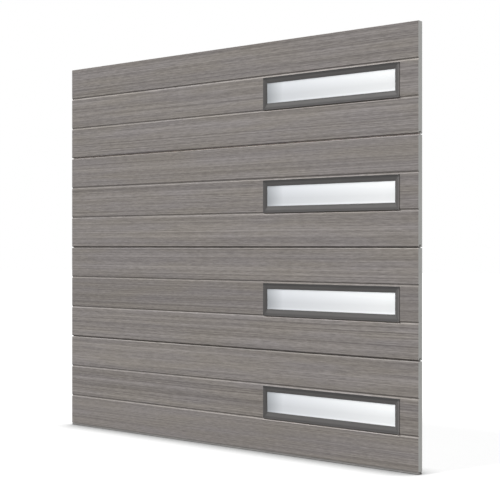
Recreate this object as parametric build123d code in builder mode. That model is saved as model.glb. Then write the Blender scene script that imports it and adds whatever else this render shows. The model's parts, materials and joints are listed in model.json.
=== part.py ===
from build123d import *
import os

# Sectional overhead garage door, closed, in millimetres.
# X runs along the leaf, the front faces -Y, Z is up.
# The origin lies on the floor, at the middle of the leaf's width and thickness.

# Leaf
LEAF_WIDTH = 2743.2
LEAF_THICKNESS = 38.1
SECTION_COUNT = 4
SECTION_PITCH = 609.6
PLANKS_PER_SECTION = 3
LEAF_TOP_SETBACK = 1.5
SKIN = 0.6
THERMAL_BREAK = 3.0

# Grooves between the planks, and the shallow beads at the back
GROOVE_HALF_WIDTH = 8.5
GROOVE_DEPTH = 4.5
GROOVE_FLOOR = 0.7
BEAD_HALF_WIDTH = 4.0
BEAD_DEPTH = 1.2
EDGE_CHAMFER = 2.0

# Tongue and slot where two sections meet
JOINT_GAP = 5.0
JOINT_HALF_WIDTH = 8.5
TONGUE_FRONT = -6.5
TONGUE_BACK = 6.5
TONGUE_HEIGHT = 12.0
TONGUE_TAPER = 3.0
TONGUE_CLEARANCE = 5.0

# End caps
CAP_SHEET = 1.2
CAP_FLANGE = 85.0
CAP_FLANGE_SETBACK = 1.0

# Window in the middle plank of each section
WINDOW_PLANK = 1
WINDOW_WIDTH = 944.0
WINDOW_SIDE_MARGIN = 117.0
WINDOW_BOTTOM_MARGIN = 1.5
WINDOW_TOP_MARGIN = 9.2
FRAME_SIDE = 27.0
FRAME_RAIL = 33.0
FRAME_PROUD = 5.0
FRAME_EDGE_BEVEL = 2.0
FRAME_OUTER_FACET = 14.0
FRAME_OUTER_FALL = 1.4
FRAME_INNER_DEPTH = 1.0
FRAME_LAP = 12.0
COLLAR_CLEARANCE = 1.0
COLLAR_WALL = 3.5
COLLAR_BACK_CLEARANCE = 2.0
GLASS_CLEARANCE = 0.5
GLASS_DEPTH = 3.0
PANE = 3.0
PANE_SPACING = 12.0
SPACER_WIDTH = 9.0
SPACER_SETBACK = 3.0
INNER_FRAME_PROUD = 2.5
INNER_FRAME_BEVEL = 1.2
INNER_COLLAR_WALL = 3.0

# Hinges
HINGE_WIDTH = 48.0
HINGE_SHEET = 2.5
END_HINGE_INSET = 55.0
CENTRE_HINGE_X = 0.0
PIN_STANDOFF = 12.0
PIN_RADIUS = 3.2
PIN_CLEARANCE = 0.05
KNUCKLE_RADIUS = 5.2
EAR_BOSS_RADIUS = 6.4
EAR_BOSS_SIDES = 12
EAR_GAP = 5.0
LOWER_LEAF_HEIGHT = 56.0
LOWER_LEAF_DROP = 4.0
LOWER_LEAF_ROOT = 10.0
UPPER_LEAF_HEIGHT = 55.0
UPPER_LEAF_RISE = 9.0
EAR_ROOT = 40.0
LEAF_CORNER = 5.0

# Roller tubes, whose distance from the hinge pin grows from joint to joint
TUBE_BORE_RADIUS = 5.65
TUBE_WALL = 1.95
TUBE_MARGIN = 2.0
TUBE_RISE = 17.0
TUBE_BACK = 9.0
TUBE_BACK_STEP = 8.0

# Brackets at the lowest and highest corners
BOTTOM_BRACKET_BASE = 18.0
BOTTOM_BRACKET_HEIGHT = 92.0
BOTTOM_TUBE_RISE = 48.0
STUD_RADIUS = 5.0
STUD_LENGTH = 13.0
STUD_HEAD_RADIUS = 8.0
STUD_HEAD_SIDES = 12
STUD_HEAD = 3.0
STUD_RISE = 16.0
STUD_BACK = 14.0
TOP_BRACKET_DROP = 12.0
TOP_BRACKET_HEIGHT = 92.0
TOP_TUBE_DROP = 40.0
TOP_TUBE_BACK = 33.0

# Retainer and seal along the bottom
RETAINER_SHEET = 2.0
RETAINER_HALF_WIDTH = 17.5
TRACK_PLACE = 10.0
TRACK_HALF_WIDTH = 4.6
TRACK_HEIGHT = 4.6
TRACK_WALL = 1.2
TRACK_MOUTH = 2.0
SEAL_HALF_WIDTH = 17.5
SEAL_HEIGHT = 7.2
SEAL_WALL = 2.0
SEAL_CORNER = 3.0
SEAL_STEM = 1.4
SEAL_BEAD = 2.8
SEAL_BEAD_HEIGHT = 1.6
SEAL_CLEARANCE = 0.2

# Places worked out from the sizes above
FRONT = -LEAF_THICKNESS / 2
BACK = LEAF_THICKNESS / 2
HALF_WIDTH = LEAF_WIDTH / 2
CORE_HALF_WIDTH = HALF_WIDTH - CAP_SHEET
CAP_BACK = BACK + CAP_SHEET
PLANK_PITCH = SECTION_PITCH / PLANKS_PER_SECTION
LEAF_TOP = SECTION_COUNT * SECTION_PITCH - LEAF_TOP_SETBACK
LEAF_BOTTOM = SEAL_HEIGHT + SEAL_CLEARANCE + TRACK_HEIGHT + RETAINER_SHEET
BREAK_CENTRE = (TONGUE_FRONT + TONGUE_BACK) / 2
SLOT_FRONT = TONGUE_FRONT - TONGUE_CLEARANCE
SLOT_BACK = TONGUE_BACK + TONGUE_CLEARANCE
SLOT_DEPTH = TONGUE_HEIGHT + TONGUE_CLEARANCE - JOINT_GAP

WINDOW_HEIGHT = PLANK_PITCH - WINDOW_BOTTOM_MARGIN - WINDOW_TOP_MARGIN
WINDOW_X = HALF_WIDTH - WINDOW_SIDE_MARGIN - WINDOW_WIDTH / 2
WINDOW_RISE = WINDOW_PLANK * PLANK_PITCH + WINDOW_BOTTOM_MARGIN + WINDOW_HEIGHT / 2
CUT_WIDTH = WINDOW_WIDTH - 2 * FRAME_LAP
CUT_HEIGHT = WINDOW_HEIGHT - 2 * FRAME_LAP
COLLAR_WIDTH = CUT_WIDTH - 2 * COLLAR_CLEARANCE
COLLAR_HEIGHT = CUT_HEIGHT - 2 * COLLAR_CLEARANCE
POCKET_WIDTH = COLLAR_WIDTH - 2 * COLLAR_WALL
POCKET_HEIGHT = COLLAR_HEIGHT - 2 * COLLAR_WALL
GLASS_WIDTH = POCKET_WIDTH - 2 * GLASS_CLEARANCE
GLASS_HEIGHT = POCKET_HEIGHT - 2 * GLASS_CLEARANCE
GLASS_THICKNESS = 2 * PANE + PANE_SPACING
GLASS_FRONT = FRONT + GLASS_DEPTH
GLASS_BACK = GLASS_FRONT + GLASS_THICKNESS
SIGHT_WIDTH = WINDOW_WIDTH - 2 * FRAME_SIDE
SIGHT_HEIGHT = WINDOW_HEIGHT - 2 * FRAME_RAIL

PIN_Y = CAP_BACK + PIN_STANDOFF
END_HINGE_X = HALF_WIDTH - END_HINGE_INSET
TUBE_RADIUS = TUBE_BORE_RADIUS + TUBE_WALL
KNUCKLE_WIDTH = HINGE_WIDTH - 2 * HINGE_SHEET - 2 * EAR_GAP
EAR_X = HINGE_WIDTH / 2 - HINGE_SHEET


def joint_height(number):
    """Height of the joint below section number, or of the leaf's top above the last one."""
    return number * SECTION_PITCH


def section_bottom(number):
    """Height of the lowest edge of a section."""
    return LEAF_BOTTOM if number == 0 else joint_height(number) + JOINT_GAP / 2


def section_top(number):
    """Height of the highest edge of a section, without its tongue."""
    if number == SECTION_COUNT - 1:
        return LEAF_TOP
    return joint_height(number + 1) - JOINT_GAP / 2


def leaf_outline(number):
    """Side outline of one section, as points (y, z)."""
    bottom = section_bottom(number)
    top = section_top(number)
    points = []
    # up the front, over the grooves
    if number == 0:
        points.append((FRONT + EDGE_CHAMFER, bottom))
        points.append((FRONT, bottom + EDGE_CHAMFER))
    else:
        points.append((FRONT + GROOVE_DEPTH, bottom))
        points.append((FRONT, joint_height(number) + JOINT_HALF_WIDTH))
    for plank in range(1, PLANKS_PER_SECTION):
        middle = joint_height(number) + plank * PLANK_PITCH
        points.append((FRONT, middle - GROOVE_HALF_WIDTH))
        points.append((FRONT + GROOVE_DEPTH, middle - GROOVE_FLOOR))
        points.append((FRONT + GROOVE_DEPTH, middle + GROOVE_FLOOR))
        points.append((FRONT, middle + GROOVE_HALF_WIDTH))
    # over the tongue, or straight across the top of the leaf
    if number == SECTION_COUNT - 1:
        points.append((FRONT, top - EDGE_CHAMFER))
        points.append((FRONT + EDGE_CHAMFER, top))
    else:
        crown = top + TONGUE_HEIGHT
        points.append((FRONT, joint_height(number + 1) - JOINT_HALF_WIDTH))
        points.append((FRONT + GROOVE_DEPTH, top))
        points.append((TONGUE_FRONT, top))
        points.append((TONGUE_FRONT + TONGUE_TAPER, crown))
        points.append((TONGUE_BACK - TONGUE_TAPER, crown))
        points.append((TONGUE_BACK, top))
    points.append((BACK, top))
    # down the back, over the beads
    for plank in range(PLANKS_PER_SECTION - 1, 0, -1):
        middle = joint_height(number) + plank * PLANK_PITCH
        points.append((BACK, middle + BEAD_HALF_WIDTH))
        points.append((BACK - BEAD_DEPTH, middle))
        points.append((BACK, middle - BEAD_HALF_WIDTH))
    points.append((BACK, bottom))
    # through the slot that takes the tongue of the section below
    if number > 0:
        roof = bottom + SLOT_DEPTH
        points.append((SLOT_BACK, bottom))
        points.append((SLOT_BACK - TONGUE_TAPER, roof))
        points.append((SLOT_FRONT + TONGUE_TAPER, roof))
        points.append((SLOT_FRONT, bottom))
    return points


def drawn_in(points, amount):
    """An outline drawn in by an amount, with all its corners kept sharp."""
    inside = []
    for index, point in enumerate(points):
        here = Vector(*point)
        before = here - Vector(*points[index - 1])
        after = Vector(*points[(index + 1) % len(points)]) - here
        first = before.normalized().rotate(Axis.Z, -90)
        second = after.normalized().rotate(Axis.Z, -90)
        inside.append(here + (first + second) * (amount / (1 + first.dot(second))))
    return inside


def window_plane(number, y):
    """Plane across the middle of a section's window, seen from the front."""
    height = joint_height(number) + WINDOW_RISE
    return Plane(origin=(WINDOW_X, y, height), x_dir=(1, 0, 0), z_dir=(0, -1, 0))


def make_skin(number, at_front):
    """Thin steel sheet over the front or the back half of a section."""
    outline = leaf_outline(number)
    half_width = HALF_WIDTH if at_front else CORE_HALF_WIDTH
    reach = LEAF_THICKNESS
    height = SECTION_PITCH + 2 * TONGUE_HEIGHT
    shift = THERMAL_BREAK / 2
    with BuildPart() as skin:
        with BuildSketch(Plane.YZ):
            with BuildLine():
                Polyline(*outline, close=True)
            make_face()
            with BuildLine():
                Polyline(*drawn_in(outline, SKIN), close=True)
            make_face(mode=Mode.SUBTRACT)
            place = BREAK_CENTRE - shift if at_front else BREAK_CENTRE + shift
            side = Align.MAX if at_front else Align.MIN
            with Locations((place, joint_height(number) - TONGUE_HEIGHT)):
                Rectangle(reach, height, align=(side, Align.MIN), mode=Mode.INTERSECT)
        extrude(amount=half_width, both=True)
        with BuildSketch(window_plane(number, 0)):
            Rectangle(CUT_WIDTH, CUT_HEIGHT)
        extrude(amount=LEAF_THICKNESS, both=True, mode=Mode.SUBTRACT)
    return skin.part


def make_core(number):
    """Rigid foam that fills a section, cut out for the window."""
    with BuildPart() as core:
        with BuildSketch(Plane.YZ):
            with BuildLine():
                Polyline(*drawn_in(leaf_outline(number), SKIN), close=True)
            make_face()
        extrude(amount=CORE_HALF_WIDTH, both=True)
        with BuildSketch(window_plane(number, 0)):
            Rectangle(CUT_WIDTH, CUT_HEIGHT)
        extrude(amount=LEAF_THICKNESS, both=True, mode=Mode.SUBTRACT)
    return core.part


def make_end_caps(number):
    """Bent plates that close both ends of a section and wrap onto its back."""
    low = section_bottom(number) + CAP_FLANGE_SETBACK
    high = section_top(number) - CAP_FLANGE_SETBACK
    with BuildPart() as caps:
        with BuildSketch(Plane.YZ.offset(CORE_HALF_WIDTH)):
            with BuildLine():
                Polyline(*drawn_in(leaf_outline(number), SKIN), close=True)
            make_face()
            with Locations((BACK - BEAD_DEPTH - SKIN, low)):
                Rectangle(
                    BEAD_DEPTH + SKIN + CAP_SHEET, high - low, align=(Align.MIN, Align.MIN)
                )
        extrude(amount=CAP_SHEET)
        with BuildSketch(Plane.YZ.offset(HALF_WIDTH - CAP_FLANGE)):
            with Locations((BACK, low)):
                Rectangle(CAP_SHEET, high - low, align=(Align.MIN, Align.MIN))
        extrude(amount=CAP_FLANGE)
        mirror(about=Plane.YZ)
    return caps.part


def make_window_frame(number):
    """Moulded front frame: bevelled lip on the skin, two facets falling in to the glass,
    and a collar through the cut-out that holds the edge of the glass."""
    facet_width = WINDOW_WIDTH - 2 * FRAME_OUTER_FACET
    facet_height = WINDOW_HEIGHT - 2 * FRAME_OUTER_FACET
    crest = FRONT - FRAME_PROUD
    knee = crest + FRAME_OUTER_FALL
    toe = FRONT + FRAME_INNER_DEPTH
    with BuildPart() as frame:
        with BuildSketch(window_plane(number, FRONT)):
            Rectangle(WINDOW_WIDTH, WINDOW_HEIGHT)
        extrude(amount=FRAME_PROUD)
        chamfer(frame.edges().group_by(Axis.Y)[0], FRAME_EDGE_BEVEL)
        with BuildSketch(window_plane(number, FRONT)):
            Rectangle(COLLAR_WIDTH, COLLAR_HEIGHT)
        extrude(amount=-(GLASS_DEPTH + GLASS_THICKNESS - COLLAR_BACK_CLEARANCE))
        with BuildSketch(window_plane(number, crest)):
            Rectangle(WINDOW_WIDTH - 2 * FRAME_EDGE_BEVEL, WINDOW_HEIGHT - 2 * FRAME_EDGE_BEVEL)
        with BuildSketch(window_plane(number, knee)):
            Rectangle(facet_width, facet_height)
        loft(mode=Mode.SUBTRACT)
        with BuildSketch(window_plane(number, knee)):
            Rectangle(facet_width, facet_height)
        with BuildSketch(window_plane(number, toe)):
            Rectangle(SIGHT_WIDTH, SIGHT_HEIGHT)
        loft(mode=Mode.SUBTRACT)
        with BuildSketch(window_plane(number, toe)):
            Rectangle(SIGHT_WIDTH, SIGHT_HEIGHT)
        extrude(amount=-LEAF_THICKNESS, mode=Mode.SUBTRACT)
        with BuildSketch(window_plane(number, GLASS_FRONT)):
            Rectangle(POCKET_WIDTH, POCKET_HEIGHT)
        extrude(amount=-LEAF_THICKNESS, mode=Mode.SUBTRACT)
    return frame.part


def make_glass(number):
    """Front and back pane of the window."""
    with BuildPart() as glass:
        for face in (GLASS_FRONT, GLASS_BACK - PANE):
            with BuildSketch(window_plane(number, face)):
                Rectangle(GLASS_WIDTH, GLASS_HEIGHT)
            extrude(amount=-PANE)
    return glass.part


def make_spacer(number):
    """Bar that keeps the two panes apart, all the way round."""
    width = GLASS_WIDTH - 2 * SPACER_SETBACK
    height = GLASS_HEIGHT - 2 * SPACER_SETBACK
    with BuildPart() as spacer:
        with BuildSketch(window_plane(number, GLASS_FRONT + PANE)):
            Rectangle(width, height)
            Rectangle(width - 2 * SPACER_WIDTH, height - 2 * SPACER_WIDTH, mode=Mode.SUBTRACT)
        extrude(amount=-PANE_SPACING)
    return spacer.part


def make_inner_frame(number):
    """Moulded frame on the back skin, with a collar that presses on the back pane."""
    outside = BACK + INNER_FRAME_PROUD
    with BuildPart() as frame:
        with BuildSketch(window_plane(number, outside)):
            Rectangle(WINDOW_WIDTH, WINDOW_HEIGHT)
        extrude(amount=INNER_FRAME_PROUD)
        chamfer(frame.edges().group_by(Axis.Y)[-1], INNER_FRAME_BEVEL)
        with BuildSketch(window_plane(number, BACK)):
            Rectangle(COLLAR_WIDTH, COLLAR_HEIGHT)
        extrude(amount=BACK - GLASS_BACK)
        with BuildSketch(window_plane(number, outside)):
            Rectangle(COLLAR_WIDTH - 2 * INNER_COLLAR_WALL, COLLAR_HEIGHT - 2 * INNER_COLLAR_WALL)
        with BuildSketch(window_plane(number, GLASS_BACK)):
            Rectangle(SIGHT_WIDTH, SIGHT_HEIGHT)
        loft(mode=Mode.SUBTRACT)
    return frame.part


def make_lower_leaf(joint, x, seat):
    """Hinge leaf on the section below a joint, with the knuckle that turns on the pin."""
    height = joint_height(joint)
    leaf_top = height - LOWER_LEAF_DROP
    with BuildPart() as leaf:
        with BuildSketch(Plane.YZ.offset(x - KNUCKLE_WIDTH / 2)):
            with BuildLine():
                Line((seat, leaf_top - LOWER_LEAF_ROOT), (seat, leaf_top))
                CenterArc((PIN_Y, height), KNUCKLE_RADIUS, 0, 360)
            make_hull()
            with Locations((PIN_Y, height)):
                Circle(PIN_RADIUS + PIN_CLEARANCE, mode=Mode.SUBTRACT)
        extrude(amount=KNUCKLE_WIDTH)
        with BuildSketch(Plane(origin=(x, seat, leaf_top), x_dir=(-1, 0, 0), z_dir=(0, 1, 0))):
            Rectangle(KNUCKLE_WIDTH, LOWER_LEAF_HEIGHT, align=(Align.CENTER, Align.MAX))
        extrude(amount=HINGE_SHEET)
        chamfer(leaf.edges().filter_by(Axis.Y).group_by(Axis.Z)[0], LEAF_CORNER)
    return leaf.part


def make_bracket(x, seat, low, high, ear_low, ear_high, bosses, rods, bores):
    """Bent plate with two ears. The ears' bosses, the rods from ear to ear and the bores
    right through are lists of (y, z, radius)."""
    with BuildPart() as bracket:
        with BuildSketch(Plane(origin=(x, seat, low), x_dir=(-1, 0, 0), z_dir=(0, 1, 0))):
            Rectangle(HINGE_WIDTH, high - low, align=(Align.CENTER, Align.MIN))
        extrude(amount=HINGE_SHEET)
        if ear_high < high:
            chamfer(bracket.edges().filter_by(Axis.Y).group_by(Axis.Z)[-1], LEAF_CORNER)
        for left in (x - HINGE_WIDTH / 2, x + EAR_X):
            with BuildSketch(Plane.YZ.offset(left)):
                with BuildLine():
                    Line((seat, ear_low), (seat, ear_high))
                for y, z, radius in bosses:
                    with Locations((y, z)):
                        RegularPolygon(
                            radius,
                            EAR_BOSS_SIDES,
                            major_radius=False,
                            rotation=180 / EAR_BOSS_SIDES,
                        )
                make_hull()
            extrude(amount=HINGE_SHEET)
        for places, mode in ((rods, Mode.ADD), (bores, Mode.SUBTRACT)):
            for y, z, radius in places:
                with BuildSketch(Plane.YZ.offset(x)):
                    with Locations((y, z)):
                        Circle(radius)
                extrude(amount=HINGE_WIDTH / 2, both=True, mode=mode)
    return bracket.part


def tube_centre(joint):
    """Place (y, z) of the roller tube above a joint."""
    return (
        PIN_Y + TUBE_BACK + TUBE_BACK_STEP * (joint - 1),
        joint_height(joint) + TUBE_RISE,
    )


def make_upper_leaf(joint, x, seat, with_tube):
    """Hinge leaf on the section above a joint: a plate with two ears that hold the pin and,
    at the ends of the leaf, the tube for the stem of a track roller."""
    height = joint_height(joint)
    low = height + UPPER_LEAF_RISE
    bosses = [(PIN_Y, height, EAR_BOSS_RADIUS)]
    rods = [(PIN_Y, height, PIN_RADIUS)]
    bores = []
    if with_tube:
        y, z = tube_centre(joint)
        bosses.append((y, z, TUBE_RADIUS + TUBE_MARGIN))
        rods.append((y, z, TUBE_RADIUS))
        bores.append((y, z, TUBE_BORE_RADIUS))
    high = low + UPPER_LEAF_HEIGHT
    return make_bracket(x, seat, low, high, low, low + EAR_ROOT, bosses, rods, bores)


def make_bottom_bracket():
    """Corner bracket at the bottom right: a roller tube, and the stud for the lift cable."""
    low = LEAF_BOTTOM + BOTTOM_BRACKET_BASE
    high = low + BOTTOM_BRACKET_HEIGHT
    tube_y = PIN_Y + TUBE_BACK
    tube_z = low + BOTTOM_TUBE_RISE
    stud_y = CAP_BACK + STUD_BACK
    stud_z = low + STUD_RISE
    bosses = [
        (tube_y, tube_z, TUBE_RADIUS + TUBE_MARGIN),
        (stud_y, stud_z, STUD_HEAD_RADIUS),
    ]
    rods = [(tube_y, tube_z, TUBE_RADIUS)]
    bores = [(tube_y, tube_z, TUBE_BORE_RADIUS)]
    with BuildPart() as bracket:
        add(make_bracket(END_HINGE_X, CAP_BACK, low, high, low, high, bosses, rods, bores))
        with BuildSketch(Plane.YZ.offset(END_HINGE_X + EAR_X)):
            with Locations((stud_y, stud_z)):
                Circle(STUD_RADIUS)
        extrude(amount=HINGE_SHEET + STUD_LENGTH)
        with BuildSketch(Plane.YZ.offset(END_HINGE_X + HINGE_WIDTH / 2 + STUD_LENGTH)):
            with Locations((stud_y, stud_z)):
                RegularPolygon(STUD_HEAD_RADIUS, STUD_HEAD_SIDES)
        extrude(amount=STUD_HEAD)
    return bracket.part


def make_top_bracket():
    """Corner bracket at the top right, with the highest roller tube."""
    high = LEAF_TOP - TOP_BRACKET_DROP
    low = high - TOP_BRACKET_HEIGHT
    y = PIN_Y + TOP_TUBE_BACK
    z = high - TOP_TUBE_DROP
    bosses = [(y, z, TUBE_RADIUS + TUBE_MARGIN)]
    rods = [(y, z, TUBE_RADIUS)]
    bores = [(y, z, TUBE_BORE_RADIUS)]
    return make_bracket(END_HINGE_X, CAP_BACK, low, high, low, high, bosses, rods, bores)


def track_outline():
    """Points of one C-shaped track of the retainer, hanging from its web."""
    top = LEAF_BOTTOM - RETAINER_SHEET
    foot = top - TRACK_HEIGHT
    inside = TRACK_HALF_WIDTH - TRACK_WALL
    lip = foot + TRACK_WALL
    return [
        (-TRACK_HALF_WIDTH, top),
        (-TRACK_HALF_WIDTH, foot),
        (-TRACK_MOUTH, foot),
        (-TRACK_MOUTH, lip),
        (-inside, lip),
        (-inside, top),
    ]


def make_retainer():
    """Extruded channel under the lowest section: a web and two tracks for the seal."""
    with BuildPart() as retainer:
        with BuildSketch(Plane.YZ):
            with Locations((0, LEAF_BOTTOM)):
                Rectangle(
                    2 * RETAINER_HALF_WIDTH, RETAINER_SHEET, align=(Align.CENTER, Align.MAX)
                )
            for middle in (-TRACK_PLACE, TRACK_PLACE):
                for side in (-1, 1):
                    with BuildLine():
                        Polyline(
                            *[(middle + side * y, z) for y, z in track_outline()], close=True
                        )
                    make_face()
        extrude(amount=HALF_WIDTH, both=True)
    return retainer.part


def make_seal():
    """Flexible tube that rests on the floor, with two beads held in the tracks."""
    ceiling = LEAF_BOTTOM - RETAINER_SHEET
    bead_top = ceiling - SEAL_CLEARANCE
    with BuildPart() as seal:
        with BuildSketch(Plane.YZ):
            with Locations((0, SEAL_HEIGHT / 2)):
                RectangleRounded(2 * SEAL_HALF_WIDTH, SEAL_HEIGHT, SEAL_CORNER)
            with Locations((0, SEAL_HEIGHT / 2)):
                Rectangle(
                    2 * (SEAL_HALF_WIDTH - SEAL_WALL),
                    SEAL_HEIGHT - 2 * SEAL_WALL,
                    mode=Mode.SUBTRACT,
                )
            for middle in (-TRACK_PLACE, TRACK_PLACE):
                stem_foot = SEAL_HEIGHT - SEAL_WALL / 2
                with Locations((middle, stem_foot)):
                    Rectangle(
                        2 * SEAL_STEM,
                        bead_top - stem_foot,
                        align=(Align.CENTER, Align.MIN),
                    )
                with Locations((middle, bead_top)):
                    Rectangle(
                        2 * SEAL_BEAD, SEAL_BEAD_HEIGHT, align=(Align.CENTER, Align.MAX)
                    )
        extrude(amount=HALF_WIDTH, both=True)
    return seal.part


def write_piece(part, name):
    """Label one finished piece and write its file."""
    part.label = name
    export_step(part, "parts/" + name + ".step")


os.makedirs("parts", exist_ok=True)

# Sections, from the floor up
for number in range(SECTION_COUNT):
    section = "section_" + str(number + 1)
    write_piece(make_skin(number, at_front=True), section + "_front_skin")
    write_piece(make_core(number), section + "_core")
    write_piece(make_skin(number, at_front=False), section + "_back_skin")
    write_piece(make_end_caps(number), section + "_end_caps")
    write_piece(make_window_frame(number), section + "_window_frame")
    write_piece(make_glass(number), section + "_window_glass")
    write_piece(make_spacer(number), section + "_window_spacer")
    write_piece(make_inner_frame(number), section + "_window_inner_frame")

# Hinges at each joint, one at each end of the leaf and one in the middle
for joint in range(1, SECTION_COUNT):
    hinge = "hinge_" + str(joint)
    with BuildPart() as lower_leaves:
        add(make_lower_leaf(joint, END_HINGE_X, CAP_BACK))
        mirror(about=Plane.YZ)
        add(make_lower_leaf(joint, CENTRE_HINGE_X, BACK))
    write_piece(lower_leaves.part, hinge + "_lower_leaves")
    with BuildPart() as upper_leaves:
        add(make_upper_leaf(joint, END_HINGE_X, CAP_BACK, with_tube=True))
        mirror(about=Plane.YZ)
        add(make_upper_leaf(joint, CENTRE_HINGE_X, BACK, with_tube=False))
    write_piece(upper_leaves.part, hinge + "_upper_leaves")

# Corner brackets
with BuildPart() as bottom_brackets:
    add(make_bottom_bracket())
    mirror(about=Plane.YZ)
write_piece(bottom_brackets.part, "bottom_brackets")

with BuildPart() as top_brackets:
    add(make_top_bracket())
    mirror(about=Plane.YZ)
write_piece(top_brackets.part, "top_brackets")

# Bottom of the leaf
write_piece(make_retainer(), "bottom_retainer")
write_piece(make_seal(), "bottom_seal")
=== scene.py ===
import json
import logging
import math
from dataclasses import dataclass
from enum import Enum
from typing import Iterable, Sequence

import bmesh
import bpy
import numpy as np
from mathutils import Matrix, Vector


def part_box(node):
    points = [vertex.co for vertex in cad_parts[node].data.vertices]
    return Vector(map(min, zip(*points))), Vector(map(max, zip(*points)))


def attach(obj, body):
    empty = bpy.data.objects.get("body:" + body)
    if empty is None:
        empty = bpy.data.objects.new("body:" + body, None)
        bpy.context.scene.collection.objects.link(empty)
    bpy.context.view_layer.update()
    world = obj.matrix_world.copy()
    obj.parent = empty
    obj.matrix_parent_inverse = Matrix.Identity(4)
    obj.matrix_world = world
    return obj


# Sectional garage door, in metres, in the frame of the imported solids:
# X runs along the leaf, the front faces -Y, Z is up.
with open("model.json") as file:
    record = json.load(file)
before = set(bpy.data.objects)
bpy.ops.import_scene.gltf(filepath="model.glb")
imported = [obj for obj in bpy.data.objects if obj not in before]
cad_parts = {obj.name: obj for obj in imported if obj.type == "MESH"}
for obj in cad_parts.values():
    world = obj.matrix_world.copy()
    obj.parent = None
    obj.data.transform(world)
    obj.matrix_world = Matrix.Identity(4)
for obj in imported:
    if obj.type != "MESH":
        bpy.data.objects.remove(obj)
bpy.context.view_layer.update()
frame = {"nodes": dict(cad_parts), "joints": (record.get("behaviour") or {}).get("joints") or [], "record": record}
LOG = logging.getLogger("garage_door")

Array = np.ndarray
Colour = tuple[float, float, float]
Socket = bpy.types.NodeSocket
Node = bpy.types.Node

SECTIONS = 4
PLANKS_PER_SECTION = 3
SECTION_PITCH = frame["joints"][0]["pos_m"][2]
PLANK_PITCH = SECTION_PITCH / PLANKS_PER_SECTION
HINGE_WIDTH = 0.048
SHEET = 0.0025
SHARP_ANGLE = math.radians(32)
WELD_DISTANCE = 0.000001
Stops = tuple[tuple[float, float], ...]


def tone(red: int, green: int, blue: int) -> Colour:
    """Linear colour of a display colour given in steps from 0 to 255."""
    steps = np.array([red, green, blue]) / 255
    low = steps / 12.92
    high = ((steps + 0.055) / 1.055) ** 2.4
    return tuple(float(value) for value in np.where(steps <= 0.04045, low, high))


class Light(Enum):
    """The two studio lamps, by the side that they light."""

    FRONT = "front_lamp"
    BACK = "back_lamp"


class Drive(Enum):
    """What a driver bit fits: the number of flat sides of the recess or head."""

    ROUND = 0
    SQUARE = 4
    HEX = 6


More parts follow.
